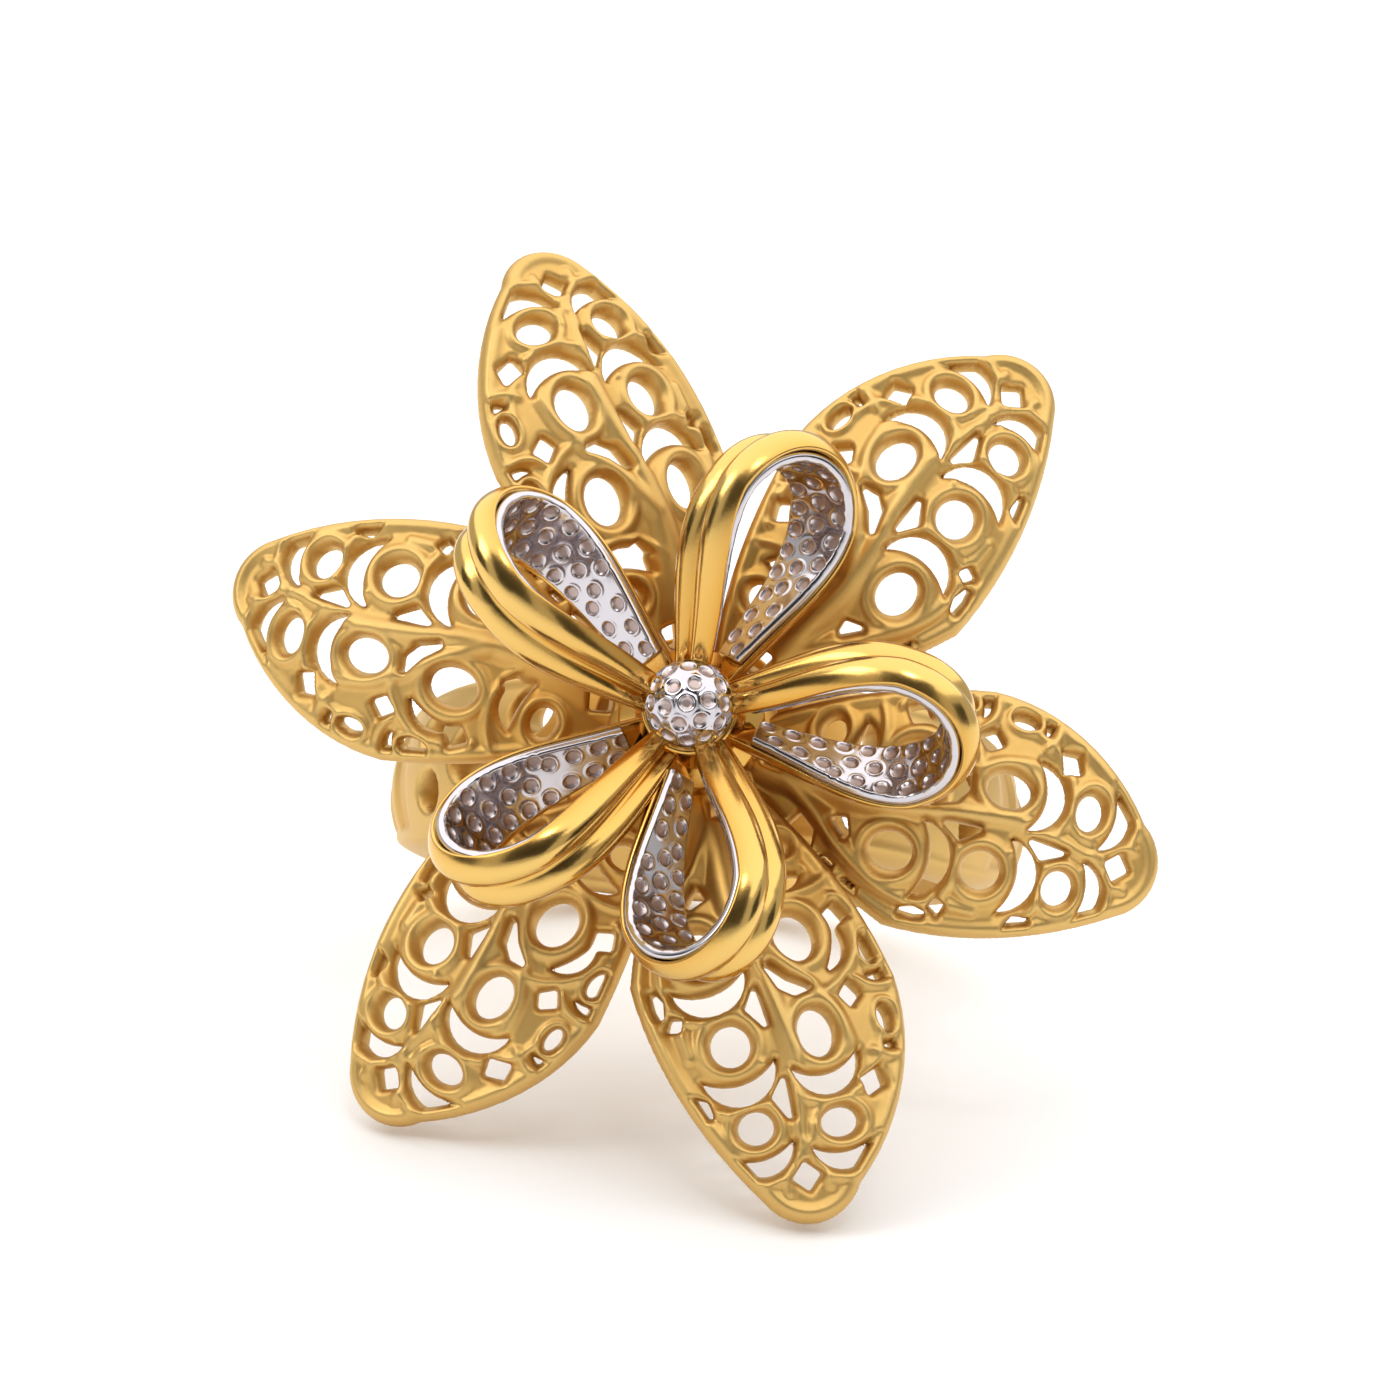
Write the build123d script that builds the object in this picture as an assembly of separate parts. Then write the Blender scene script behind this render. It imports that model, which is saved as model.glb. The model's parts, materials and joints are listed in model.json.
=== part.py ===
from build123d import *
from math import asin, atan2, cos, hypot, radians, sin, sqrt
import os

# A flower ring: six pierced petals and five ribbon loops on a finger hoop.
# Millimetres and degrees. The ring is modelled with the hoop's axis along Y and the flower facing
# +Z, its hub at the origin. At the end it is laid on its three resting points, with +Z up.

# Finger hoop
FINGER_RADIUS = 8.65
BAND_THICKNESS = 1.8
BAND_EDGE = 1.1
BACK_WIDTH = 2.4
SIDE_WIDTH = 3.8
SHOULDER_WIDTH = 5.4
EDGE_ROUND = 0.3

# Seat under the flower. The stem's height is from the top of the hoop to the flower's hub.
STEM_HEIGHT = 2.55
SEAT_RADIUS = 3.2
SEAT_THICKNESS = 0.9
STEM_RADIUS = 2.0

# Outer flower
PETAL_REACH = 15.2
PETAL_HALF_WIDTH = 3.81
PETAL_THICKNESS = 0.8
PETAL_ROOT = 1.5
PETAL_LEVEL = -0.6
PETAL_RISE = 22.0
PETAL_CROWN_RADIUS = 8.0
SHEET_MARGIN = 1.15
SHEET_SECTIONS = 5
HUB_RADIUS = 2.6
HUB_TOP = 0.3

# Ribbon flower
LOOP_REACH = 8.3
LOOP_START = 1.9
LOOP_START_GAP = 0.45
LOOP_TIP_RADIUS = 1.6
HUB_FLARE = -8.0
TIP_FLARE = 18.0
RIBBON_WIDTH = 2.5
RIBBON_HUB_WIDTH = 1.3
RIBBON_RIB = 0.75
RIBBON_GROOVE = 0.4
RIBBON_EDGE = 0.3
LINING_THICKNESS = 0.28
LINING_MARGIN = 0.08
LINING_START = 2.9
LEG_STEPS = 4
BOW_STEPS = 8
COLLAR_RADIUS = 2.2
COLLAR_TOP = 2.15
CUP_RADIUS = 1.35
CUP_TOP = 2.95

# Bead
BEAD_RADIUS = 1.3
BEAD_HEIGHT = 3.55
DIMPLE_RADIUS = 0.3
DIMPLE_DEPTH = 0.13
POST_RADIUS = 0.6
POST_END = -2.2

CLEARANCE = 0.05

# Laying the ring down: how finely its surface is read, how often the three feet are picked again
# and the rough downward direction to start from
REST_TOLERANCE = 0.02
REST_STEPS = 12
ROUGHLY_DOWN = (0, -1, -0.5)

# One row a petal, each set by eye: its direction round the flower, its reach as a share of
# PETAL_REACH, how far its tip is tilted back, and its twist about its own length, left side forward.
PETALS = (
    # turn, reach, tilt, twist
    (50.4, 0.997, -3.8, 3.5),
    (112.7, 1.015, -6.6, 29.6),
    (163.0, 0.992, 5.4, -5.2),
    (233.6, 0.980, 3.0, 13.5),
    (287.8, 1.022, -8.6, -7.5),
    (345.5, 0.948, -1.0, 5.5),
)

# Half outlines of a petal seen from the front, from the root to the tip: along as shares of the
# petal's reach, across as shares of PETAL_HALF_WIDTH. Two arcs run through each five points, and
# one through TIP between their ends.
OUTLINE_LEFT = ((0.10, 0.20), (0.32, 0.70), (0.58, 1.03), (0.80, 0.87), (0.955, 0.40))
OUTLINE_RIGHT = ((0.10, 0.20), (0.30, 0.67), (0.50, 0.98), (0.78, 0.75), (0.955, 0.36))
TIP = (1.01, -0.03)

# One row an eye of the piercing, an oval hole under a crescent gap. along is a share of the
# petal's reach; the rest are shares of PETAL_HALF_WIDTH. aim and half_span are the crescent's
# direction and half angle, from the tip's direction towards the left. No crescent where it is 0.
EYES = (
    # along, across, hole_along, hole_across, strand, crescent, aim, half_span
    (0.838, 0.335, 0.105, 0.145, 0.125, 0.09, 0, 52),
    (0.820, -0.305, 0.12, 0.135, 0.125, 0.09, 8, 46),
    (0.668, 0.30, 0.18, 0.135, 0.145, 0.12, 6, 53),
    (0.662, -0.36, 0.155, 0.15, 0.15, 0.13, 6, 53),
    (0.476, -0.43, 0.18, 0.15, 0.155, 0.14, 5, 51),
    (0.480, 0.31, 0.19, 0.15, 0.0, 0.0, 0, 0),
    (0.290, 0.33, 0.10, 0.12, 0.13, 0.15, -12, 44),
)

# Small gaps between the eyes, by their corners: along as shares of the reach, across as shares of
# PETAL_HALF_WIDTH.
FILLER_GAPS = (
    ((0.950, 0.0), (0.923, 0.11), (0.896, 0.0), (0.923, -0.11)),
    ((0.815, -0.03), (0.770, -0.14), (0.738, -0.02)),
    ((0.640, -0.06), (0.600, -0.19), (0.565, -0.09)),
    ((0.800, 0.60), (0.785, 0.74), (0.752, 0.72), (0.768, 0.56)),
    ((0.645, 0.62), (0.612, 0.74), (0.580, 0.62), (0.612, 0.52)),
)

# One row a ribbon loop: its direction round the flower, its reach as a share of LOOP_REACH, how far
# its tip rises and how far the ribbon leans over from standing on edge.
LOOPS = (
    # turn, reach, rise, lean
    (70.5, 1.00, 14.5, 44),
    (145, 1.00, 23, 45),
    (221, 0.99, 9, 42),
    (279, 1.00, 19, 36),
    (358, 0.98, 13, 46),
)

# Gaps in each shoulder of the hoop: the angle from the flower, and the place across and the
# radius as shares of SHOULDER_WIDTH.
SHOULDER_GAPS = (
    # from_front, across, radius
    (31, -0.23, 0.11),
    (31, 0.23, 0.11),
    (44, 0.0, 0.15),
    (57, -0.17, 0.09),
    (57, 0.17, 0.09),
)

# Rings of dimples down the bead: how many in each, and its angle from the top
DIMPLE_COUNTS = (1, 6, 12)
DIMPLE_ANGLES = (0, 34, 66)

# Places that follow from the sizes above
FAR = 4 * PETAL_REACH
OUTER_RADIUS = FINGER_RADIUS + BAND_THICKNESS
HOOP_DEPTH = OUTER_RADIUS + STEM_HEIGHT
DRILL_LENGTH = 3 * BAND_THICKNESS
HUB_BOTTOM = PETAL_LEVEL - PETAL_THICKNESS / 2
SEAT_TOP = HUB_BOTTOM - CLEARANCE
COLLAR_BOTTOM = HUB_TOP + CLEARANCE


def drum(radius, low, high):
    """A cylinder about Z between two heights."""
    return Pos(0, 0, (low + high) / 2) * Cylinder(radius, high - low)


def round_the_flower(turn, shape):
    """A shape drawn along +X, turned to its place round the flower."""
    return Rot(0, 0, turn) * shape


def hoop_band():
    """The band: a domed section carried round the finger, trimmed to its taper from the side."""
    half = SHOULDER_WIDTH / 2
    edge_radius = FINGER_RADIUS + BAND_EDGE
    section = make_face(
        Line((FINGER_RADIUS, half), (FINGER_RADIUS, -half))
        + Line((FINGER_RADIUS, -half), (edge_radius, -half))
        + Spline((edge_radius, -half), (OUTER_RADIUS, 0), (edge_radius, half))
        + Line((edge_radius, half), (FINGER_RADIUS, half))
    )
    ring = revolve(section, axis=Axis.Y)
    reach = OUTER_RADIUS + BAND_THICKNESS
    taper = (
        (BACK_WIDTH / 2, -reach),
        (SIDE_WIDTH / 2, 0),
        (half, OUTER_RADIUS / 2),
        (half, reach),
    )
    side = [(y, z) for y, z in taper] + [(-y, z) for y, z in reversed(taper)]
    trim = extrude(Plane.YZ * make_face(Polyline(*side, close=True)), reach, both=True)
    band = ring & trim
    mid_wall = FINGER_RADIUS + BAND_EDGE / 2
    outer = [e for e in band.edges() if e.distance_to(Vertex(0, 0, 0)) > mid_wall]
    return Pos(0, 0, -HOOP_DEPTH) * fillet(outer, EDGE_ROUND)


def shoulder_gaps():
    """Round drills through the two shoulders, pointing at the hoop's centre."""
    drill = Pos(0, 0, OUTER_RADIUS)
    gaps = []
    for side in (-1, 1):
        for from_front, across, radius in SHOULDER_GAPS:
            place = Pos(0, across * SHOULDER_WIDTH, -HOOP_DEPTH) * Rot(0, side * from_front, 0)
            gaps.append(place * drill * Cylinder(radius * SHOULDER_WIDTH, DRILL_LENGTH))
    return gaps


def shank():
    """The hoop with the seat plate and stem that carry the flower."""
    stem_foot = -HOOP_DEPTH + FINGER_RADIUS + BAND_EDGE / 2
    body = hoop_band() + drum(STEM_RADIUS, stem_foot, SEAT_TOP)
    body += drum(SEAT_RADIUS, SEAT_TOP - SEAT_THICKNESS, SEAT_TOP)
    body -= shoulder_gaps()
    return body - drum(POST_RADIUS + CLEARANCE, POST_END - CLEARANCE, FAR)


def arch(reach):
    """Centre and radius of the arc that a petal's crest follows, from the root to the tip."""
    rise = radians(PETAL_RISE)
    half_chord = (reach - PETAL_ROOT) / 2
    radius = half_chord / sin(rise)
    return PETAL_ROOT + half_chord, -radius * cos(rise), radius


def crown_section(arch_radius):
    """The petal's arched section, drawn from the arch's centre."""
    inner = PETAL_CROWN_RADIUS - PETAL_THICKNESS / 2
    outer = PETAL_CROWN_RADIUS + PETAL_THICKNESS / 2
    edge_angle = asin(SHEET_MARGIN * PETAL_HALF_WIDTH / inner)
    low = arch_radius - PETAL_CROWN_RADIUS

    def on_arc(radius, angle):
        return (radius * sin(angle), low + radius * cos(angle))

    return make_face(
        ThreePointArc(on_arc(outer, -edge_angle), on_arc(outer, 0), on_arc(outer, edge_angle))
        + Line(on_arc(outer, edge_angle), on_arc(inner, edge_angle))
        + ThreePointArc(on_arc(inner, edge_angle), on_arc(inner, 0), on_arc(inner, -edge_angle))
        + Line(on_arc(inner, -edge_angle), on_arc(outer, -edge_angle))
    )


def petal_sheet(reach):
    """A doubly curved sheet: the arched section lofted along the petal's arch."""
    centre_along, centre_height, arch_radius = arch(reach)
    section = crown_section(arch_radius)
    end = asin((reach + PETAL_ROOT - centre_along) / arch_radius)
    sections = []
    for step in range(SHEET_SECTIONS):
        lean = end * (2 * step / (SHEET_SECTIONS - 1) - 1)
        across = Plane(
            origin=(centre_along, 0, centre_height),
            x_dir=(0, 1, 0),
            z_dir=(cos(lean), 0, -sin(lean)),
        )
        sections.append(across * section)
    return loft(sections)


def petal_outline(reach):
    """The petal from the front: two arcs up each side and one over the tip."""
    left = [(a * reach, w * PETAL_HALF_WIDTH) for a, w in OUTLINE_LEFT]
    right = [(a * reach, -w * PETAL_HALF_WIDTH) for a, w in OUTLINE_RIGHT]
    return make_face(
        Line(right[0], left[0])
        + ThreePointArc(*left[:3])
        + ThreePointArc(*left[2:])
        + ThreePointArc(left[-1], (TIP[0] * reach, TIP[1] * PETAL_HALF_WIDTH), right[-1])
        + ThreePointArc(*right[2:])
        + ThreePointArc(*right[:3])
    )


def eye_gaps(reach, row):
    """The oval hole and the crescent over it, as flat faces."""
    along, across, hole_along, hole_across, strand, crescent, aim, half_span = row
    place = Pos(along * reach, across * PETAL_HALF_WIDTH)
    long_radius = hole_along * PETAL_HALF_WIDTH
    wide_radius = hole_across * PETAL_HALF_WIDTH
    gaps = [place * Ellipse(long_radius, wide_radius)]
    if not crescent:
        return gaps

    def out_at(distance, angle):
        turn = radians(aim + angle)
        grown = distance * PETAL_HALF_WIDTH
        return ((long_radius + grown) * cos(turn), (wide_radius + grown) * sin(turn))

    cusp = strand + crescent / 3
    left, right = out_at(cusp, half_span), out_at(cusp, -half_span)
    moon = make_face(
        ThreePointArc(left, out_at(strand + crescent, 0), right)
        + ThreePointArc(right, out_at(strand, 0), left)
    )
    return gaps + [place * moon]


def piercing(reach):
    """All the gaps of one petal, as flat faces."""
    gaps = [gap for row in EYES for gap in eye_gaps(reach, row)]
    for corners in FILLER_GAPS:
        points = [(a * reach, w * PETAL_HALF_WIDTH) for a, w in corners]
        gaps.append(make_face(Polyline(*points, close=True)))
    return gaps


def petal(turn, reach_share, tilt, twist):
    """A crowned sheet cut to the outline, pierced and set to its place."""
    reach = reach_share * PETAL_REACH
    pattern = Sketch() + [petal_outline(reach)]
    pattern -= piercing(reach)
    casting = petal_sheet(reach) & extrude(pattern, PETAL_REACH / 2, both=True)
    return round_the_flower(turn, Pos(0, 0, PETAL_LEVEL) * Rot(0, tilt, 0) * Rot(twist, 0, 0) * casting)


def outer_flower():
    """Six petals joined by their hub, with a flat on both sides and a hole for the post."""
    flower = drum(HUB_RADIUS, HUB_BOTTOM, HUB_TOP)
    for row in PETALS:
        flower += petal(*row)
    flower -= drum(COLLAR_RADIUS + CLEARANCE, HUB_TOP, FAR)
    flower -= drum(SEAT_RADIUS + CLEARANCE, -FAR, HUB_BOTTOM)
    return flower - drum(POST_RADIUS + CLEARANCE, -FAR, FAR)


def loop_path(reach):
    """Stations round a teardrop: place, outward direction and how far out the station lies."""
    middle = reach - LOOP_TIP_RADIUS
    span = hypot(middle - LOOP_START, LOOP_START_GAP)
    lean_in = atan2(LOOP_START_GAP, middle - LOOP_START)
    leg_angle = asin(LOOP_TIP_RADIUS / span) - lean_in
    leg_length = sqrt(span**2 - LOOP_TIP_RADIUS**2)
    outward = (-sin(leg_angle), cos(leg_angle))
    leg = []
    for step in range(LEG_STEPS + 1):
        along = leg_length * step / LEG_STEPS
        place = (LOOP_START + along * cos(leg_angle), LOOP_START_GAP + along * sin(leg_angle))
        leg.append((place, outward))
    bow = []
    for step in range(1, BOW_STEPS + 1):
        angle = (radians(90) + leg_angle) * (1 - step / BOW_STEPS)
        out = (cos(angle), sin(angle))
        bow.append(((middle + LOOP_TIP_RADIUS * out[0], LOOP_TIP_RADIUS * out[1]), out))
    half = leg + bow
    mirrored = [((x, -y), (ox, -oy)) for (x, y), (ox, oy) in reversed(half[:-1])]
    return half + mirrored


def bend_share(reach, along):
    """How far out a place lies from the hub to the loop's bend, from 0 to 1."""
    return min(1, (along - LOOP_START) / (reach - LOOP_TIP_RADIUS - LOOP_START))


def ribbon_width(reach, along):
    """The ribbon widens from the hub to the loop's bend."""
    return RIBBON_HUB_WIDTH + (RIBBON_WIDTH - RIBBON_HUB_WIDTH) * sin(radians(90) * bend_share(reach, along))


def across_ribbon(reach, place, outward, section):
    """A flat section set across the ribbon, its first axis pointing out of the loop. It is turned
    so that the legs close a little towards their front edges and the bend opens."""
    flare = HUB_FLARE + (TIP_FLARE - HUB_FLARE) * bend_share(reach, place[0]) ** 2
    along = Vector(-outward[1], outward[0], 0)
    plane = Plane(origin=(*place, 0), x_dir=(*outward, 0), z_dir=-along)
    return plane * Rot(0, 0, -flare) * section


def ribbed_section(width):
    """A flat inner face, and an outer face of two rounded ribs with a groove between them."""
    half = width / 2
    thinned = (1 + width / RIBBON_WIDTH) / 2
    edge, rib, groove = (thinned * size for size in (RIBBON_EDGE, RIBBON_RIB, RIBBON_GROOVE))
    return make_face(
        Line((0, -half), (edge, -half))
        + ThreePointArc((edge, -half), (rib, -half / 2), (groove, 0))
        + ThreePointArc((groove, 0), (rib, half / 2), (edge, half))
        + Line((edge, half), (0, half))
        + Line((0, half), (0, -half))
    )


def lining_section(width):
    """A thin strip a clearance inside the ribbon."""
    outer = -CLEARANCE
    inner = -CLEARANCE - LINING_THICKNESS
    half = width / 2 - LINING_MARGIN
    return make_face(Polyline((outer, -half), (outer, half), (inner, half), (inner, -half), close=True))


def set_loop(turn, rise, lean, shape):
    """A loop drawn flat along +X, leaned over, raised and turned to its place."""
    raised = Pos(0, 0, COLLAR_TOP) * Rot(0, -rise, 0) * Rot(lean, 0, 0) * shape
    return round_the_flower(turn, raised)


def ribbon_loop(turn, reach_share, rise, lean):
    """One ribbon bent to a teardrop: ribbed sections joined round the loop's path."""
    reach = reach_share * LOOP_REACH
    sections = []
    for place, outward in loop_path(reach):
        section = ribbed_section(ribbon_width(reach, place[0]))
        sections.append(across_ribbon(reach, place, outward, section))
    return set_loop(turn, rise, lean, loft(sections, ruled=True))


def loop_lining(turn, reach_share, rise, lean):
    """The strip inside the loop, short of the hub at both ends."""
    reach = reach_share * LOOP_REACH
    sections = []
    for place, outward in loop_path(reach):
        if place[0] >= LINING_START:
            section = lining_section(ribbon_width(reach, place[0]))
            sections.append(across_ribbon(reach, place, outward, section))
    return set_loop(turn, rise, lean, loft(sections, ruled=True))


def ribbon_flower():
    """Five loops joined by a collar with a cup for the bead."""
    flower = drum(COLLAR_RADIUS, COLLAR_BOTTOM, COLLAR_TOP) + drum(CUP_RADIUS, COLLAR_BOTTOM, CUP_TOP)
    for row in LOOPS:
        flower += ribbon_loop(*row)
    flower -= drum(POST_RADIUS + CLEARANCE, -FAR, FAR)
    return flower - Pos(0, 0, BEAD_HEIGHT) * Sphere(BEAD_RADIUS + CLEARANCE)


def centre_bead():
    """A dimpled ball on the post that holds the layers together."""
    ball = Pos(0, 0, BEAD_HEIGHT) * Sphere(BEAD_RADIUS)
    out = BEAD_RADIUS + DIMPLE_RADIUS - DIMPLE_DEPTH
    for count, from_top in zip(DIMPLE_COUNTS, DIMPLE_ANGLES):
        for index in range(count):
            aim = Pos(0, 0, BEAD_HEIGHT) * Rot(0, 0, 360 * index / count) * Rot(0, from_top, 0)
            ball -= aim * Pos(0, 0, out) * Sphere(DIMPLE_RADIUS)
    return ball + drum(POST_RADIUS, POST_END, BEAD_HEIGHT)


def resting_down(feet_of):
    """The direction that points down when each group's lowest point touches the table."""
    down = Vector(*ROUGHLY_DOWN).normalized()
    for _ in range(REST_STEPS):
        first, second, third = (max(points, key=down.dot) for points in feet_of)
        normal = (second - first).cross(third - first).normalized()
        down = normal if normal.dot(down) > 0 else -normal
    return down


def laid_on_table(parts):
    """Rests the ring on its two lowest petals and the back of the hoop, over the origin."""
    flower_points = parts["outer_flower"].tessellate(REST_TOLERANCE)[0]
    hoop_points = parts["shank"].tessellate(REST_TOLERANCE)[0]
    left = [p for p in flower_points if p.Y < -PETAL_REACH / 2 and p.X < 0]
    right = [p for p in flower_points if p.Y < -PETAL_REACH / 2 and p.X > 0]
    up = -resting_down((left, right, hoop_points))
    front = (Vector(0, 0, 1) - up * up.Z).normalized()
    table = Plane(origin=(0, 0, 0), x_dir=up.cross(front), z_dir=up)
    laid = {name: table.location.inverse() * shape for name, shape in parts.items()}
    boxes = [shape.bounding_box() for shape in laid.values()]
    middle_x = (min(box.min.X for box in boxes) + max(box.max.X for box in boxes)) / 2
    middle_y = (min(box.min.Y for box in boxes) + max(box.max.Y for box in boxes)) / 2
    shift = Pos(-middle_x, -middle_y, -min(box.min.Z for box in boxes))
    return {name: shift * shape for name, shape in laid.items()}


def ring_parts():
    """Every piece by name, in the flower's own frame."""
    parts = {
        "shank": shank(),
        "outer_flower": outer_flower(),
        "ribbon_flower": ribbon_flower(),
        "centre_bead": centre_bead(),
    }
    for number, row in enumerate(LOOPS, start=1):
        parts[f"loop_lining_{number}"] = loop_lining(*row)
    return parts


os.makedirs("parts", exist_ok=True)
for part_name, part_shape in laid_on_table(ring_parts()).items():
    export_step(part_shape, f"parts/{part_name}.step")
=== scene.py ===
"""A gold flower ring: six pierced petals, five lined ribbon loops and a dimpled bead on a finger hoop."""

import json
import math

import bpy
import numpy as np
from mathutils import Matrix, Vector


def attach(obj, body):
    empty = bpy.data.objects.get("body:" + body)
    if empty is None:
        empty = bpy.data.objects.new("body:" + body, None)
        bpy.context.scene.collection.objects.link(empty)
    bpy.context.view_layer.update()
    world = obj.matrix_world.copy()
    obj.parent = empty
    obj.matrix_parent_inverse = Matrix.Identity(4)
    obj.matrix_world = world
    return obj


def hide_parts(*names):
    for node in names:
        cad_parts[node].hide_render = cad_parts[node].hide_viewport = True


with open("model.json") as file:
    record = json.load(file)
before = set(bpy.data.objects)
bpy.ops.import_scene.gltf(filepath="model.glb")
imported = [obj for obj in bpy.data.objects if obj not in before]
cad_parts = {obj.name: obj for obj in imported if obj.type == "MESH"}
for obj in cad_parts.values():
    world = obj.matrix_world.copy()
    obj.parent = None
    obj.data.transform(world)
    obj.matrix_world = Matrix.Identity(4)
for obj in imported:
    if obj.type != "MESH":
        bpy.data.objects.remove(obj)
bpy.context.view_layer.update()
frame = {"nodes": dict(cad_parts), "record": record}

# The ring's sizes, in millimetres and degrees, in the flower's own frame: +X right, +Y up along the
# finger, +Z out of the flower's face, the hub at the origin.

HOOP_DEPTH = 13.0
FINGER_RADIUS = 8.65
BAND_THICKNESS = 1.8
BAND_EDGE = 1.1
BACK_WIDTH, SIDE_WIDTH, SHOULDER_WIDTH = 2.4, 3.8, 5.4
OUTER_RADIUS = FINGER_RADIUS + BAND_THICKNESS
HOOP_MIDDLE = 0.5
HOOP_ROUND = 0.4
HOOP_ROWS, HOOP_COLUMNS = 520, 54
HOOP_SIDE = 1.04
EDGE_WIRE_INSET, EDGE_WIRE_HALF_WIDTH = 0.32, 0.28
GAP_RIM_INSET, GAP_RIM_HALF_WIDTH = 0.18, 0.20
HOOP_WIRE_HEIGHT = 0.08
HOOP_PANELS = 26
PANEL_RIB_SHARE, PANEL_SLOPE = 0.2, 0.22
PANEL_MARGIN, PANEL_MARGIN_SLOPE = 0.62, 0.2
PANELS_FROM = 9
PANEL_DEPTH = 0.14
PANEL_HOLLOW, FLAT_HOLLOW = 0.8, 0.2
STEM_RADIUS = 2.0
SEAT_RADIUS = 3.2
SEAT_THICKNESS = 0.9
SEAT_SLOPE = 0.25
CLEARANCE = 0.05
# Turns of the hoop, in radians, over which its taper and the start of its panels are eased.
TAPER_EASE, PANELS_EASE = 0.16, 0.05

PETAL_REACH = 15.2
PETAL_HALF_WIDTH = 3.81
PETAL_ROOT = 1.5
PETAL_LEVEL = -0.6
PETAL_RISE = 22.0
PETAL_CROWN_RADIUS = 8.0
PETAL_CELL = 0.062
GRID_ROOT, GRID_TIP, GRID_SIDE = 0.08, 1.045, 1.08
PETAL_EDGE_ROUND = 0.22
PETAL_BACK = 0.34
HUB_RADIUS = 2.6
HUB_TOP = 0.3
HUB_BOTTOM = -1.0
HUB_SLOPE = 0.3

LOOP_REACH = 8.3
LOOP_START = 1.3
LOOP_START_GAP = 0.42
LEG_SHARE = 0.24
BOW_POWER = 2.2
BEND_FROM = 0.78
HUB_FLARE, TIP_FLARE = -8.0, 18.0
SECOND_LEG_FROM, SECOND_LEG_EASE = 0.40, 0.20
RIBBON_WIDTH = 2.5
RIBBON_HUB_WIDTH = 1.2
RIBBON_EDGE = 0.10
RIBBON_RIB = 0.70
RIBBON_GROOVE = 0.22
RIBBON_LIP, RIBBON_LIP_POWER = 0.05, 24
RIB_POWER = 0.85
RIB_DROP = 0.26
HUB_THINNING = 0.45
RIBBON_STATIONS, RIBBON_COLUMNS = 131, 33
LINING_THICKNESS = 0.28
LINING_MARGIN = 0.13
LINING_ROUND, LINING_EDGE_SHARE = 0.10, 0.45
LINING_BACK, LINING_FORWARD = -0.19, 0.12
LINING_START = 1.9
LINING_STATIONS, LINING_COLUMNS, LINING_BACK_COLUMNS = 231, 41, 5
PIT_RADIUS = 0.23
PIT_DEPTH = 0.06
PIT_PITCH = 0.78
PIT_LIP_AT, PIT_LIP_WIDTH, PIT_LIP_HEIGHT = 1.16, 0.18, 0.30
PIT_ROWS_NARROW, PIT_ROWS_WIDE = (-0.21, 0.21), (-0.30, 0.0, 0.30)
THREE_ROWS_FROM = 2.2
COLLAR_RADIUS = 2.2
COLLAR_TOP = 2.15
COLLAR_SLOPE = 0.6
CUP_RADIUS = 1.4
CUP_TOP = 3.0
CUP_FLARE = 0.2
CUP_WALL = 0.22

BEAD_RADIUS = 1.3
BEAD_HEIGHT = 3.55
BEAD_ROWS, BEAD_COLUMNS = 120, 200
DIMPLE_RADIUS = 0.23
DIMPLE_DEPTH = 0.10
DIMPLE_LIP_AT, DIMPLE_LIP_WIDTH, DIMPLE_LIP_HEIGHT = 1.2, 0.25, 0.2
BEAD_TILT = -12.0
POST_RADIUS = 0.6

# One row a petal: its direction round the flower, its reach as a share of PETAL_REACH, how far its
# tip is tilted back, and its twist about its own length, left side forward.
PETALS = (
    # name, turn, reach, tilt, twist
    ("top_right", 50.4, 0.997, -3.8, 3.5),
    ("top_left", 112.7, 1.015, -6.6, 29.6),
    ("left", 163.0, 0.992, 5.4, -5.2),
    ("lower_left", 233.6, 0.980, 3.0, 13.5),
    ("bottom", 287.8, 1.022, -8.6, -7.5),
    ("right", 345.5, 0.948, -1.0, 5.5),
)

# One row a ribbon loop: its direction round the flower, its reach as a share of LOOP_REACH, how far
# its tip rises and how far the ribbon leans over from standing on edge.
LOOPS = (
    # turn, reach, rise, lean
    (70.5, 1.00, 14.5, 44),
    (145, 1.00, 23, 45),
    (221, 0.99, 9, 42),
    (279, 1.00, 19, 36),
    (358, 0.98, 13, 46),
)

# Gaps in each shoulder of the hoop: the angle from the flower, and the place across and the radius
# as shares of SHOULDER_WIDTH.
SHOULDER_GAPS = (
    # from_front, across, radius
    (31, -0.23, 0.11),
    (31, 0.23, 0.11),
    (44, 0.0, 0.15),
    (57, -0.17, 0.09),
    (57, 0.17, 0.09),
)

# Rings of dimples down the bead.
DIMPLES = (
    # count, from_top, first_turn
    (1, 0, 0),
    (6, 30, 12),
    (12, 58, 3),
    (15, 86, 9),
    (12, 114, 0),
)

# Half outlines of a petal: along as shares of its reach, across as shares of PETAL_HALF_WIDTH.
# Two arcs run through each five points, and one through TIP between their ends.
OUTLINE_LEFT = ((0.10, 0.20), (0.32, 0.70), (0.58, 1.03), (0.80, 0.87), (0.955, 0.40))
OUTLINE_RIGHT = ((0.10, 0.20), (0.30, 0.67), (0.50, 0.98), (0.78, 0.75), (0.955, 0.36))
TIP = (1.010, -0.03)

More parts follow.
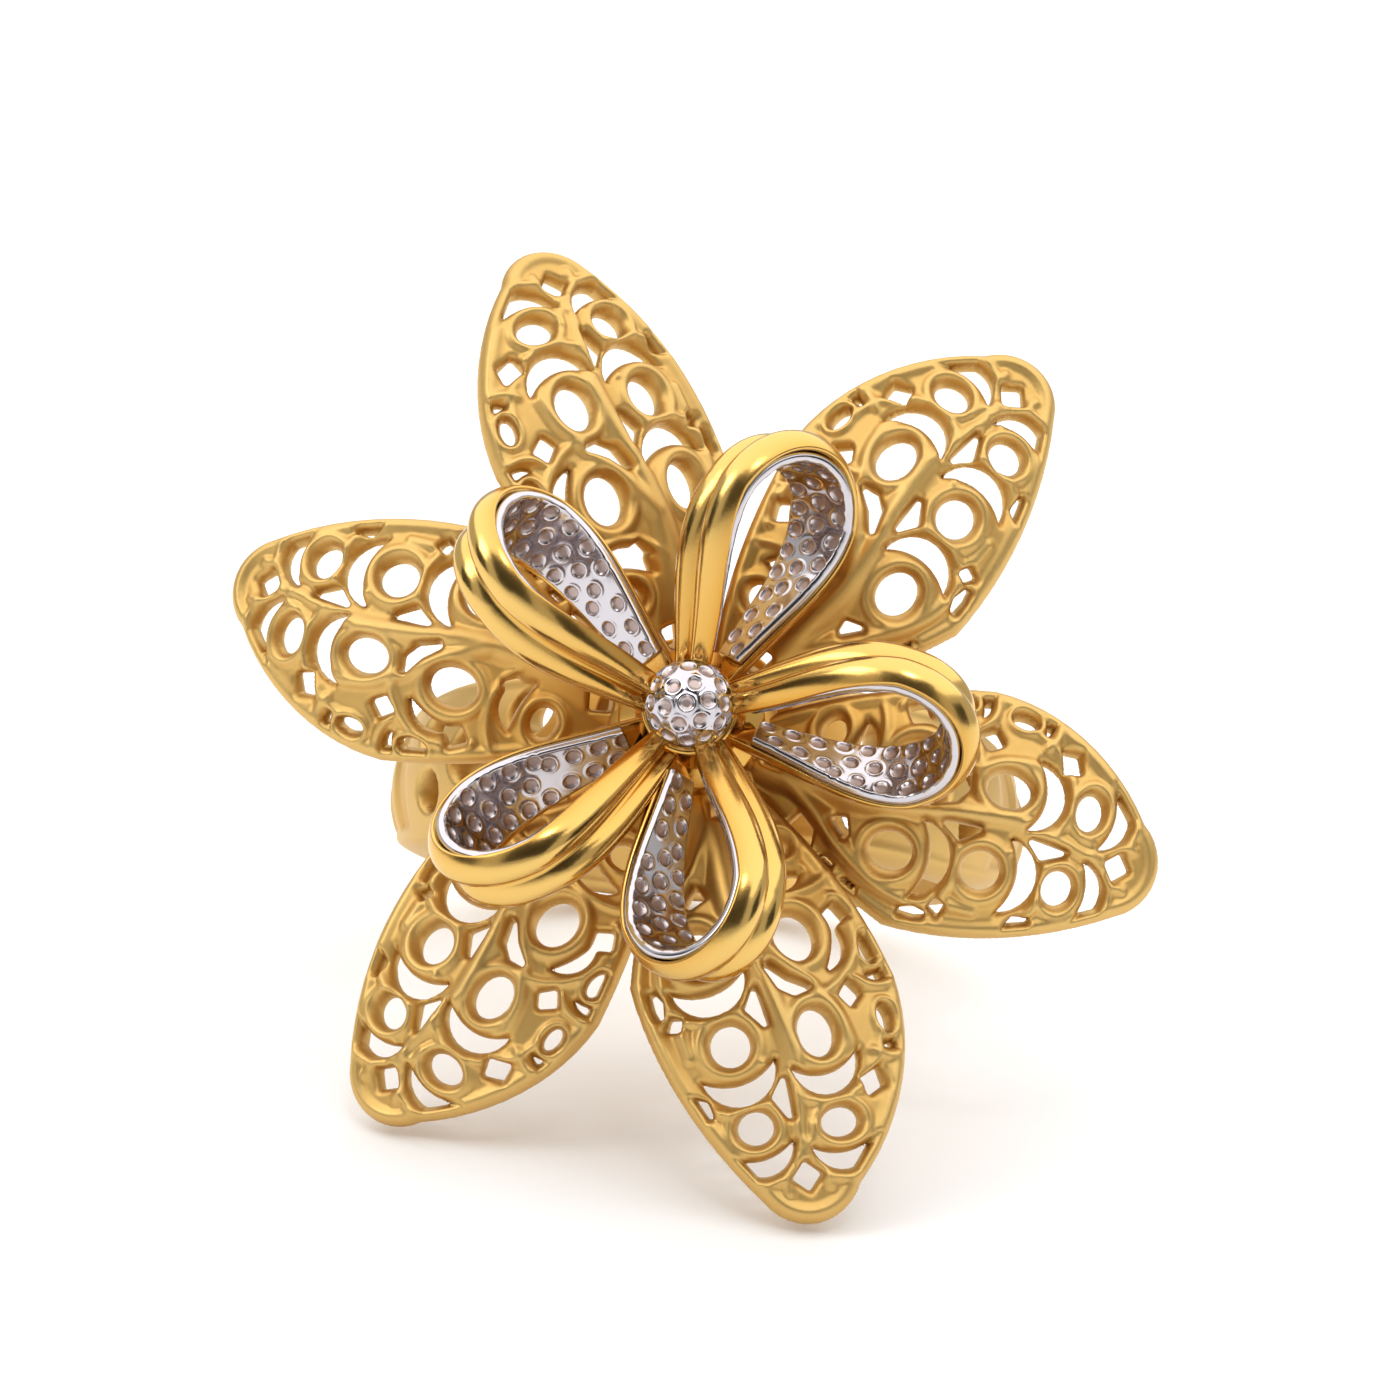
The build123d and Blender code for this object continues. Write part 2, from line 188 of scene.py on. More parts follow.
# Eyes of the petal's piercing: an oval hole in a ring of wire, and a crescent gap under an arch of
# wire. Left is positive. Sizes are shares of PETAL_HALF_WIDTH, along is a share of the reach, aim
# and half_span are the crescent's direction and half its length in degrees.
EYES = (
    # along, across, hole_along, hole_across, ring, crescent, aim, half_span
    (0.838, 0.335, 0.105, 0.145, 0.12, 0.12, 0, 56),
    (0.820, -0.305, 0.12, 0.135, 0.12, 0.12, 8, 52),
    (0.668, 0.30, 0.18, 0.135, 0.14, 0.145, 6, 56),
    (0.662, -0.36, 0.155, 0.15, 0.145, 0.155, 6, 56),
    (0.476, -0.43, 0.18, 0.15, 0.15, 0.16, 5, 54),
    (0.480, 0.31, 0.19, 0.15, 0.15, 0.09, 70, 34),
    (0.290, 0.33, 0.10, 0.12, 0.13, 0.15, -12, 44),
    (0.660, 0.845, 0.10, 0.045, 0.09, 0.055, 24, 40),
    (0.520, 0.840, 0.11, 0.050, 0.09, 0.055, 24, 40),
)

# Small gaps between the eyes, by their corners: along as shares of the reach, across as shares of
# PETAL_HALF_WIDTH.
SMALL_GAPS = (
    ((0.950, 0.0), (0.923, 0.11), (0.896, 0.0), (0.923, -0.11)),
    ((0.815, -0.03), (0.770, -0.14), (0.738, -0.02)),
    ((0.640, -0.06), (0.600, -0.19), (0.565, -0.09)),
    ((0.800, 0.60), (0.785, 0.74), (0.752, 0.72), (0.768, 0.56)),
    ((0.630, 0.62), (0.606, 0.72), (0.580, 0.64), (0.606, 0.55)),
    ((0.585, 0.33), (0.592, 0.22), (0.572, 0.09), (0.528, 0.03), (0.556, 0.16)),
    ((0.785, -0.60), (0.780, -0.68), (0.745, -0.70), (0.752, -0.62)),
    ((0.612, -0.69), (0.606, -0.78), (0.585, -0.74), (0.592, -0.66)),
    ((0.580, -0.80), (0.560, -0.84), (0.525, -0.83), (0.545, -0.77)),
    ((0.430, -0.77), (0.415, -0.86), (0.385, -0.81), (0.400, -0.72)),
    ((0.370, -0.66), (0.355, -0.73), (0.330, -0.68), (0.345, -0.61)),
    ((0.382, -0.42), (0.370, -0.28), (0.345, -0.31)),
    ((0.312, -0.46), (0.312, -0.60), (0.250, -0.50), (0.275, -0.36)),
    ((0.470, 0.64), (0.450, 0.75), (0.420, 0.68), (0.440, 0.58)),
    ((0.390, 0.14), (0.375, 0.22), (0.350, 0.14), (0.365, 0.07)),
    ((0.225, -0.05), (0.215, 0.10), (0.180, 0.06), (0.185, -0.04)),
)
GAP_CORNER = 0.09
GAP_GROWTH = 0.8

# Raised wires and ribs of a petal: points (along, across) with the half width and height there, in
# millimetres.
RIBS = (
    # the midrib, an S from the hub to the tip
    ((0.10, -0.02, 1.12, 0.80), (0.20, -0.06, 0.97, 0.78), (0.30, -0.08, 0.80, 0.74),
     (0.40, -0.10, 0.66, 0.68), (0.48, -0.07, 0.55, 0.62), (0.56, 0.00, 0.50, 0.58),
     (0.64, 0.06, 0.46, 0.54), (0.72, 0.085, 0.42, 0.52), (0.79, 0.04, 0.38, 0.49),
     (0.86, 0.005, 0.33, 0.46), (0.89, 0.0, 0.28, 0.44)),
    # the left vein, up to the arch over the left middle eye
    ((0.44, -0.06, 0.52, 0.60), (0.50, 0.08, 0.47, 0.58), (0.565, 0.28, 0.42, 0.53),
     (0.625, 0.44, 0.38, 0.50), (0.69, 0.53, 0.33, 0.47), (0.735, 0.52, 0.31, 0.45)),
    # the right vein, up to the arch over the right middle eye
    ((0.24, -0.12, 0.57, 0.64), (0.31, -0.28, 0.50, 0.60), (0.38, -0.50, 0.44, 0.55),
     (0.46, -0.68, 0.39, 0.51), (0.54, -0.73, 0.35, 0.48), (0.61, -0.68, 0.33, 0.46),
     (0.67, -0.66, 0.31, 0.45)),
    # the wires on both sides of the square at the tip
    ((0.86, 0.02, 0.29, 0.44), (0.90, 0.13, 0.28, 0.43), (0.945, 0.16, 0.28, 0.43)),
    ((0.86, -0.02, 0.29, 0.44), (0.90, -0.13, 0.28, 0.43), (0.945, -0.16, 0.28, 0.43)),
)
RIM_HALF_WIDTH = 0.35
RIM_HEIGHT = 0.46
RIM_SOLID = 0.42
WEB_HEIGHT = 0.29
RING_HEIGHT = 0.44
ARCH_HEIGHT = 0.45
ARCH_HALF_WIDTH = 0.26
ARCH_OFFSET = 0.055
ARCH_OVERHANG = 22
RING_SPREAD = 0.04
METAL_BLEND = 16.0
RELIEF_BLEND = 13.0


# Frame and mesh helpers


def unit(vector):
    """A vector made one long."""
    vector = np.asarray(vector, float)
    return vector / np.linalg.norm(vector)


bore = next(m for m in frame["record"]["mounts"] if m["name"] == "finger_bore")
up = unit(bore["axis"])
facing = unit(np.cross((1.0, 0.0, 0.0), up))
FLOWER_AXES = np.array((np.cross(up, facing), up, facing))
HUB = np.array(bore["pos_m"]) + HOOP_DEPTH / 1000 * facing


def as_laid(points):
    """Points in the flower's frame, in millimetres, as metres where the ring lies on its table."""
    return HUB + np.asarray(points) @ FLOWER_AXES / 1000


def turned(points, axis, degrees):
    """Points turned about one axis (0, 1 or 2) by the right-hand rule."""
    c, s = math.cos(math.radians(degrees)), math.sin(math.radians(degrees))
    a, b = (axis + 1) % 3, (axis + 2) % 3
    out = np.array(points, float)
    out[..., a] = c * points[..., a] - s * points[..., b]
    out[..., b] = s * points[..., a] + c * points[..., b]
    return out


def piece(name, points, faces, material, replaces=(), hollow=None):
    """A smooth mesh from points in the flower's frame and triangles or quads, riding on the ring.
    hollow, from 0 to 1 a point, says how deep in its relief the point lies."""
    points = as_laid(points)
    mesh = bpy.data.meshes.new(name)
    faces = [np.asarray(f) for f in faces]
    sizes = np.concatenate([np.full(len(f), f.shape[1]) for f in faces])
    corners = np.concatenate([f.ravel() for f in faces])
    mesh.vertices.add(len(points))
    mesh.vertices.foreach_set("co", points.astype(np.float32).ravel())
    mesh.loops.add(len(corners))
    mesh.loops.foreach_set("vertex_index", corners.astype(np.int32))
    mesh.polygons.add(len(sizes))
    starts = np.concatenate(([0], np.cumsum(sizes)[:-1]))
    mesh.polygons.foreach_set("loop_start", starts.astype(np.int32))
    mesh.polygons.foreach_set("loop_total", sizes.astype(np.int32))
    mesh.polygons.foreach_set("use_smooth", np.ones(len(sizes), bool))
    mesh.update(calc_edges=True)
    if hollow is not None:
        layer = mesh.attributes.new("hollow", "FLOAT", "POINT")
        layer.data.foreach_set("value", np.asarray(hollow, np.float32))
    obj = bpy.data.objects.new(name, mesh)
    bpy.context.scene.collection.objects.link(obj)
    obj.data.materials.append(material)
    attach(obj, "root")
    if replaces:
        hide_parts(*replaces)
    return obj


def grid_quads(rows, columns, wrap_rows=False, wrap_columns=False):
    """Quads of a grid of points numbered row by row, closed on itself where asked."""
    i = np.arange(rows if wrap_rows else rows - 1)[:, None]
    j = np.arange(columns if wrap_columns else columns - 1)[None, :]
    i2, j2 = (i + 1) % rows, (j + 1) % columns
    quads = (i * columns + j, i2 * columns + j, i2 * columns + j2, i * columns + j2)
    return np.stack(np.broadcast_arrays(*quads), -1).reshape(-1, 4)


# Pierced sheets


def three_point_arc(first, middle, last, count=13):
    """Points along the circle through three points, from the first to the last."""
    a, b, c = (complex(*p) for p in (first, middle, last))
    w = (c - a) / (b - a)
    if abs(w.imag) < 1e-9:
        return np.linspace(first, last, count)
    centre = a + (b - a) * (w - abs(w) ** 2) / (w - w.conjugate())
    sweep_b = np.angle((b - centre) / (a - centre)) % (2 * np.pi)
    sweep_c = np.angle((c - centre) / (a - centre)) % (2 * np.pi)
    sweep = sweep_c if sweep_b < sweep_c else sweep_c - 2 * np.pi
    arc = centre + (a - centre) * np.exp(1j * np.linspace(0, sweep, count))
    return np.stack((arc.real, arc.imag), -1)


def side_distance(points, start, side):
    """Distance to one straight side, and how far along it the nearest place lies, from 0 to 1."""
    rel = points - start
    along = np.clip(rel @ side / max(side @ side, 1e-12), 0, 1)
    return np.hypot(rel[:, 0] - along * side[0], rel[:, 1] - along * side[1]), along


def signed_distance(points, outline):
    """Distance to a closed outline, below zero inside it: the least distance to any of its sides,
    with the sign from how many sides a line to the right crosses."""
    start, end = outline, np.roll(outline, -1, 0)
    side = end - start
    least = np.full(len(points), np.inf)
    inside = np.zeros(len(points), bool)
    for a, s in zip(start, side):
        least = np.minimum(least, side_distance(points, a, s)[0])
        rel = points - a
        crosses = (rel[:, 1] >= 0) != (rel[:, 1] >= s[1])
        at = s[0] * rel[:, 1] / (s[1] if abs(s[1]) > 1e-12 else 1e-12)
        inside ^= crosses & (rel[:, 0] < at)
    return np.where(inside, -least, least)


def soft_least(values, sharpness):
    """A smooth minimum over the first axis: minus the log of the summed exponentials of minus the
    values times the sharpness, over the sharpness."""
    low = values.min(0)
    return low - np.log(np.exp(-sharpness * (values - low)).sum(0)) / sharpness


def cut_grid(field, wrapped):
    """Triangles of a grid where the field is above zero, cut exactly at its zero line. Returns the
    triangles and, for each new corner on the line, the two grid points it lies between and how
    far along. A triangle with one corner inside keeps a smaller triangle, with two a quad."""
    rows, columns = field.shape
    quads = grid_quads(rows, columns, wrap_rows=wrapped)
    triangles = np.concatenate((quads[:, [0, 1, 2]], quads[:, [0, 2, 3]]))
    flat = field.ravel()
    count = (flat[triangles] > 0).sum(1)
    kept = [triangles[count == 3]]
    parts = {}
    for inside in (1, 2):
        some = triangles[count == inside]
        odd = (flat[some] > 0) == (inside == 1)
        first = odd.argmax(1)
        turned_order = (first[:, None] + np.arange(3)) % 3
        parts[inside] = np.take_along_axis(some, turned_order, 1)
    one, two = parts[1], parts[2]
    pairs = np.concatenate((one[:, [0, 1]], one[:, [0, 2]], two[:, [0, 1]], two[:, [0, 2]]))
    keys = np.sort(pairs, 1)
    unique, back = np.unique(keys, axis=0, return_inverse=True)
    new = rows * columns + back.ravel()
    n1, n2 = len(one), len(two)
    a, b = new[:n1], new[n1:2 * n1]
    c, d = new[2 * n1:2 * n1 + n2], new[2 * n1 + n2:]
    kept.append(np.stack((one[:, 0], a, b), -1))
    kept.append(np.stack((c, two[:, 1], two[:, 2]), -1))
    kept.append(np.stack((c, two[:, 2], d), -1))
    fa, fb = flat[unique[:, 0]], flat[unique[:, 1]]
    share = fa / (fa - fb)
    return np.concatenate(kept), unique, share


def closed_sheet(u, v, field, top, back, hollow, period=None):
    """A closed sheet over the part of a grid where the field is above zero: its top and back are
    two heights over the grid, and they meet at height zero on the zero line. With a period the
    grid's first and last rows are neighbours that far apart. Returns the points as (u, v, height),
    the triangles and each point's hollow, halved on the zero line and 0 on the back."""
    faces, between, share = cut_grid(field, period is not None)
    size = field.size
    u, v, top, back, hollow = (np.asarray(x, float).ravel() for x in (u, v, top, back, hollow))
    first, last = between.T
    step = u[last] - u[first]
    if period is not None:
        step -= period * np.round(step / period)
    line = np.stack((u[first] + share * step, v[first] + share * (v[last] - v[first]), 0 * share), -1)
    points = np.concatenate((np.stack((u, v, top), -1), line, np.stack((u, v, -back), -1)))
    hollows = np.concatenate((hollow, hollow[first] * 0.5, 0 * hollow))
    under = np.where(faces < size, faces + size + len(line), faces)[:, ::-1]
    used, renumbered = np.unique(np.concatenate((faces, under)), return_inverse=True)
    return points[used], renumbered.reshape(-1, 3), hollows[used]


def ellipse(place, long_radius, wide_radius, first=0.0, last=360.0, count=33):
    """Points round an oval, its angle counted from along towards across."""
    angle = np.radians(np.linspace(first, last, count))
    return np.stack((place[0] + long_radius * np.cos(angle), place[1] + wide_radius * np.sin(angle)), -1)


def eye_outlines(row):
    """The oval hole, the crescent over it, and the centre lines of the ring and of the arch. The
    crescent's ends lie a third of its width out from the ring."""
    along, across, hole_along, hole_across, ring, crescent, aim, half_span = row
    place = (along * PETAL_REACH, across * PETAL_HALF_WIDTH)
    long_radius, wide_radius = hole_along * PETAL_HALF_WIDTH, hole_across * PETAL_HALF_WIDTH
    hole = ellipse(place, long_radius, wide_radius)[:-1]

    def grown(distance, first, last, count=33):
        extra = distance * PETAL_HALF_WIDTH
        return ellipse(place, long_radius + extra, wide_radius + extra, first, last, count)

    cusp = ring + crescent / 3
    left, right = grown(cusp, aim + half_span, aim, 2)[0], grown(cusp, aim - half_span, aim, 2)[0]
    outer = three_point_arc(left, grown(ring + crescent, aim, aim, 1)[0], right)
    inner = three_point_arc(right, grown(ring, aim, aim, 1)[0], left)
    moon = np.concatenate((outer[:-1], inner[:-1]))
    ring_line = grown(ring / 2, 0, 360)
    reach = half_span + ARCH_OVERHANG
    arch_line = grown(ring + crescent + ARCH_OFFSET, aim - reach, aim + reach, 17)
    return hole, moon, ring_line, arch_line


def line_distance(points, line):
    """Distance to an open line of points, and how far along it the nearest place lies."""
    least = np.full(len(points), np.inf)
    nearest = np.zeros(len(points))
    for index, (a, b) in enumerate(zip(line[:-1], line[1:])):
        distance, along = side_distance(points, a, b - a)
        closer = distance < least
        least = np.where(closer, distance, least)
        nearest = np.where(closer, index + along, nearest)
    return least, nearest


def smooth_line(points, steps=6):
    """A Catmull-Rom line through rows of values."""
    p = np.asarray(points, float)
    p = np.concatenate((p[:1] * 2 - p[1:2], p, p[-1:] * 2 - p[-2:-1]))
    t = np.linspace(0, 1, steps, endpoint=False)[:, None]
    spans = []
    for a, b, c, d in zip(p[:-3], p[1:-2], p[2:-1], p[3:]):
        square, cube = 2 * a - 5 * b + 4 * c - d, 3 * b - a - 3 * c + d
        spans.append(0.5 * (2 * b + (c - a) * t + square * t**2 + cube * t**3))
    return np.concatenate(spans + [p[-2:-1]])


def hump(distance, half_width):
    """A round wire's height across it, from 1 on its centre line to 0 at its edge."""
    return np.clip(1 - (distance / half_width) ** 2, 0, None)


def petal_pattern():
    """One flat pierced petal of the full reach: the grid, how far each point lies inside the metal,
    the heights of its front and back, and how hollow its relief is there. The metal is the outline
    less every gap, joined by a smooth minimum of distances. The relief is the highest of the webs,
    rings, arches, ribs and rim, each a parabola across its centre line."""
    along = np.arange(GRID_ROOT * PETAL_REACH, GRID_TIP * PETAL_REACH, PETAL_CELL)
    across = np.arange(-GRID_SIDE * PETAL_HALF_WIDTH, GRID_SIDE * PETAL_HALF_WIDTH, PETAL_CELL)
    u, v = np.meshgrid(along, across, indexing="ij")
    points = np.stack((u.ravel(), v.ravel()), -1)

    left = np.array(OUTLINE_LEFT) * (PETAL_REACH, PETAL_HALF_WIDTH)
    right = np.array(OUTLINE_RIGHT) * (PETAL_REACH, -PETAL_HALF_WIDTH)
    tip = np.array(TIP) * (PETAL_REACH, PETAL_HALF_WIDTH)
    outline = np.concatenate((
        three_point_arc(left[0], left[1], left[2])[:-1],
        three_point_arc(left[2], left[3], left[4])[:-1],
        three_point_arc(left[4], tip, right[4])[:-1],
        three_point_arc(right[4], right[3], right[2])[:-1],
        three_point_arc(right[2], right[1], right[0]),
    ))
    inside_outline = -signed_distance(points, outline)

    gaps = []
    heights = []
    for row in EYES:
        hole, moon, ring_line, arch_line = eye_outlines(row)
        ring_half = row[4] * PETAL_HALF_WIDTH / 2 + RING_SPREAD
        gaps += [signed_distance(points, hole), signed_distance(points, moon)]
        heights.append(RING_HEIGHT * hump(line_distance(points, ring_line)[0], ring_half))
        heights.append(ARCH_HEIGHT * hump(line_distance(points, arch_line)[0], ARCH_HALF_WIDTH))
    for corners in SMALL_GAPS:
        gap = np.array(corners) * (PETAL_REACH, PETAL_HALF_WIDTH)
        middle = gap.mean(0)
        shrink = 1 - GAP_CORNER / np.linalg.norm(gap - middle, axis=1, keepdims=True)
        gaps.append(signed_distance(points, middle + (gap - middle) * shrink) - GAP_CORNER * GAP_GROWTH)
    for rib in RIBS:
        line = smooth_line(rib)
        distance, place = line_distance(points, line[:, :2] * (PETAL_REACH, PETAL_HALF_WIDTH))
        half = np.interp(place, np.arange(len(line)), line[:, 2])
        height = np.interp(place, np.arange(len(line)), line[:, 3])
        heights.append(height * hump(distance, half))
    fade = np.clip(inside_outline / RIM_HALF_WIDTH, 0, 1)
    heights = [height * fade for height in heights]
    heights.append(np.full(len(points), WEB_HEIGHT))
    heights.append(RIM_HEIGHT * hump(inside_outline - RIM_HALF_WIDTH, RIM_HALF_WIDTH))
    from_gaps = np.maximum(soft_least(np.array(gaps), METAL_BLEND), RIM_SOLID - inside_outline)
    distances = np.array((inside_outline, from_gaps))

    inside = soft_least(distances, METAL_BLEND)
    relief = -soft_least(-np.array(heights), RELIEF_BLEND)
    depth = np.clip(inside / PETAL_EDGE_ROUND, 0, 1)
    rounding = np.sqrt(1 - (1 - depth) ** 2)
    hollow = np.clip(1 - (relief - WEB_HEIGHT) / (RIM_HEIGHT - WEB_HEIGHT), 0, 1)
    fields = (inside, relief * rounding, PETAL_BACK * rounding, hollow)
    return (u, v, *(field.reshape(u.shape) for field in fields))


def bent_petal(points, reach_share):
    """A flat petal laid on its doubly curved sheet: the crest follows one arc from root to tip, by
    its length, every cross section another, and heights stand square to the sheet."""
    rise = math.radians(PETAL_RISE)
    half_chord = (reach_share * PETAL_REACH - PETAL_ROOT) / 2
    radius = half_chord / math.sin(rise)
    along, across, height = points.T * ((reach_share,), (1,), (1,))
    lean = rise * ((along - PETAL_ROOT) / half_chord - 1)
    crown = np.sqrt(PETAL_CROWN_RADIUS**2 - across**2)
    sweep = radius - PETAL_CROWN_RADIUS + crown
    normal = np.stack((crown * np.sin(lean), across, crown * np.cos(lean)), -1) / PETAL_CROWN_RADIUS
    forward = PETAL_ROOT + half_chord + sweep * np.sin(lean)
    upward = sweep * np.cos(lean) - radius * math.cos(rise)
    return np.stack((forward, across, upward), -1) + normal * height[:, None]


def set_petal(points, turn, tilt, twist):
    """A petal twisted about its length, tilted back and turned to its place."""
    return turned(turned(turned(points, 0, twist), 1, tilt) + (0, 0, PETAL_LEVEL), 2, turn)


# Ribbon loops, linings, bead and other turned forms


def loop_path(reach, count):
    """Stations round a teardrop, evenly spaced: places and outward directions. From the hub the
    path's direction holds its first angle, then turns to square across at the tip as a power of the
    length; the first angle is the one that brings the half path back to the loop's middle line."""
    share = np.linspace(0, 1, count)
    bend = np.clip((share - LEG_SHARE) / (1 - LEG_SHARE), 0, 1) ** BOW_POWER

    def half_path(first):
        angle = first - (first + math.pi / 2) * bend
        middle = (angle[1:] + angle[:-1]) / 2
        steps = np.stack((np.cos(middle), np.sin(middle)), -1)
        path = np.concatenate((np.zeros((1, 2)), np.cumsum(steps, 0)))
        path *= (reach - LOOP_START) / path[-1, 0]
        return path + (LOOP_START, LOOP_START_GAP)

    low, high = 0.0, 1.2
    for _ in range(40):
        first = (low + high) / 2
        low, high = (first, high) if half_path(first)[-1, 1] < 0 else (low, first)
    half = half_path(first)
    path = np.concatenate((half, half[-2::-1] * (1, -1)))
    direction = np.gradient(path, axis=0)
    direction /= np.linalg.norm(direction, axis=1, keepdims=True)
    return path, np.stack((-direction[:, 1], direction[:, 0]), -1)


def bend_share(reach, along):
    """How far out a place lies from the hub to the loop's bend, from 0 to 1."""
    return np.clip((along - LOOP_START) / (BEND_FROM * (reach - LOOP_START)), 0, 1)


def ribbon_width(reach, along):
    """The ribbon widens from the hub to the loop's bend by a quarter sine."""
    wider = (RIBBON_WIDTH - RIBBON_HUB_WIDTH) * np.sin(math.pi / 2 * bend_share(reach, along))
    return RIBBON_HUB_WIDTH + wider


def set_loop(points, turn, rise, lean):
    """A loop drawn flat along +X, leaned over, raised and turned to its place."""
    return turned(turned(turned(points, 0, lean), 1, -rise) + (0, 0, COLLAR_TOP), 2, turn)


def swept(reach, path, outward, out, across):
    """Sections carried along a flat path: each section's points lie out along the outward
    direction and across along Z. The section turns by HUB_FLARE at the hub and by TIP_FLARE at the
    bend, with the square of how far out it lies, so that the legs close a little towards their front
    edges and the bend opens. Both ends are closed by a fan round their middle."""
    rows, columns = out.shape
    flare = np.radians(HUB_FLARE + (TIP_FLARE - HUB_FLARE) * bend_share(reach, path[:, 0]) ** 2)[:, None]
    flared = out * np.cos(flare) + across * np.sin(flare)
    place = path[:, None, :] + flared[:, :, None] * outward[:, None, :]
    forward = across * np.cos(flare) - out * np.sin(flare)
    points = np.concatenate((place, forward[:, :, None]), -1)
    middles = np.stack((points[0].mean(0), points[-1].mean(0)))
    quads = grid_quads(rows, columns, wrap_columns=True)
    j = np.arange(columns)
    after = (j + 1) % columns
    last = (rows - 1) * columns
    near = np.stack((np.full(columns, rows * columns), j, after), -1)
    far = np.stack((np.full(columns, rows * columns + 1), last + after, last + j), -1)
    return np.concatenate((points.reshape(-1, 3), middles)), quads, np.concatenate((near, far))


def second_leg(count):
    """A share at each station of a loop, easing from 0 on its first leg to 1 on its second by a
    smooth step over the bend."""
    share = np.clip((np.linspace(0, 1, count) - SECOND_LEG_FROM) / SECOND_LEG_EASE, 0, 1)
    return (share**2 * (3 - 2 * share))[:, None]


def ribbon(reach):
    """One ribbon loop. Across its width the outer face is two rounded ribs, each a power of a
    parabola over a straight line from the groove's height to the edge's, and the inner face is
    flat with rounded corners. The ribs are lower on the second leg."""
    path, outward = loop_path(reach, RIBBON_STATIONS)
    half = ribbon_width(reach, path[:, 0])[:, None] / 2
    t = np.sin(np.linspace(-math.pi / 2, math.pi / 2, RIBBON_COLUMNS))
    low = RIBBON_GROOVE + (RIBBON_EDGE - RIBBON_GROOVE) * np.abs(t)
    rib = np.clip(1 - ((np.abs(t) - 0.5) / 0.5) ** 2, 0, 1) ** RIB_POWER
    thin = (1 - HUB_THINNING) + HUB_THINNING * half / half.max()
    height = RIBBON_RIB * (1 - RIB_DROP * second_leg(len(path)))
    outer = thin * (low + (height - low) * rib)
    back = np.array((0.985, 0.94, 0.8, 0.5, 0.0, -0.5, -0.8, -0.94, -0.985))
    inner = RIBBON_LIP * np.abs(back) ** RIBBON_LIP_POWER + np.zeros_like(half)
    out = np.concatenate((outer, inner), 1)
    across = np.concatenate((t * half, back * half), 1)
    points, quads, ends = swept(reach, path, outward, out, across)
    hollow = np.concatenate(((1 - rib) ** 2 + 0 * half, 0 * inner), 1)
    return points, [quads[:, ::-1], ends[:, ::-1]], np.concatenate((hollow.ravel(), (0, 0)))


def pit_places(length, width_at):
    """Places of the lining's pits as (length, across): two staggered rows where the ribbon is
    narrow, three where it is wide."""
    pits = []
    for index, place in enumerate(np.arange(PIT_PITCH / 2, length, PIT_PITCH / 2)):
        width = width_at(place)
        rows = PIT_ROWS_NARROW if width < THREE_ROWS_FROM else PIT_ROWS_WIDE
        even = index % 2 == 0
        pits += [(place, row * width) for number, row in enumerate(rows) if (number % 2 == 0) == even]
    return np.array(pits)


def lining(reach):
    """One loop's lining: a thin strip inside the ribbon, its inner face pressed with round pits. It
    lies back from the ribbon's front edge on the first leg and comes up to it on the second.
    A pit's depth falls to its rim as one less the sixth power of the distance, with a low raised
    lip round it."""
    path, outward = loop_path(reach, LINING_STATIONS)
    forward = LINING_BACK + (LINING_FORWARD - LINING_BACK) * second_leg(len(path))
    forward, outward, path = (x[path[:, 0] > LINING_START] for x in (forward, outward, path))
    travelled = np.concatenate(([0], np.cumsum(np.linalg.norm(np.diff(path, axis=0), axis=1))))
    width = ribbon_width(reach, path[:, 0])
    half = width / 2 - LINING_MARGIN
    t = np.linspace(-1, 1, LINING_COLUMNS)
    across = t * half[:, None]
    back_across = np.linspace(1, -1, LINING_BACK_COLUMNS) * half[:, None]
    pits = pit_places(travelled[-1], lambda place: np.interp(place, travelled, width))
    nearest = np.full(across.shape, np.inf)
    for length, offset in pits:
        nearest = np.minimum(nearest, np.hypot(travelled[:, None] - length, across - offset))
    share = nearest / PIT_RADIUS
    lip = PIT_LIP_HEIGHT * np.exp(-((share - PIT_LIP_AT) / PIT_LIP_WIDTH) ** 2)
    pressed = np.clip(1 - share**6, 0, 1) - lip
    edge = np.clip((1 - np.abs(t)) / LINING_ROUND, 0, 1)
    rounding = LINING_EDGE_SHARE + (1 - LINING_EDGE_SHARE) * np.sqrt(1 - (1 - edge) ** 2)
    inner = -CLEARANCE - LINING_THICKNESS * rounding + PIT_DEPTH * pressed * edge
    out = np.concatenate((inner, np.full_like(back_across, -CLEARANCE)), 1)
    sides = np.concatenate((across, back_across), 1) + forward
    points, quads, ends = swept(reach, path, outward, out, sides)
    hollow = np.concatenate((np.clip(pressed, 0, 1) * edge, np.zeros_like(back_across)), 1)
    return points, [quads, ends], np.concatenate((hollow.ravel(), (0, 0)))


def lathe(profile, count=96):
    """A closed profile of (radius, height) turned round Z."""
    profile = np.asarray(profile, float)
    radius, height = profile.T
    angle = np.linspace(0, 2 * math.pi, count, endpoint=False)[:, None]
    points = np.stack((radius * np.cos(angle), radius * np.sin(angle), height + 0 * angle), -1)
    return points.reshape(-1, 3), grid_quads(count, len(profile), True, True)


def rounded(profile, radius=0.15, steps=4):
    """A closed profile with each corner cut to a short curve: a quadratic that starts and ends on
    the corner's two sides, a radius away from it but before the middle of either side."""
    p = np.asarray(profile, float)
    before, after = np.roll(p, 1, 0), np.roll(p, -1, 0)
    rows = []
    for a, b, c in zip(before, p, after):
        first = b + (a - b) * min(0.45, radius / np.linalg.norm(a - b))
        last = b + (c - b) * min(0.45, radius / np.linalg.norm(c - b))
        t = np.linspace(0, 1, steps + 1)[:, None]
        rows.append((1 - t) ** 2 * first + 2 * t * (1 - t) * b + t**2 * last)
    return np.concatenate(rows)


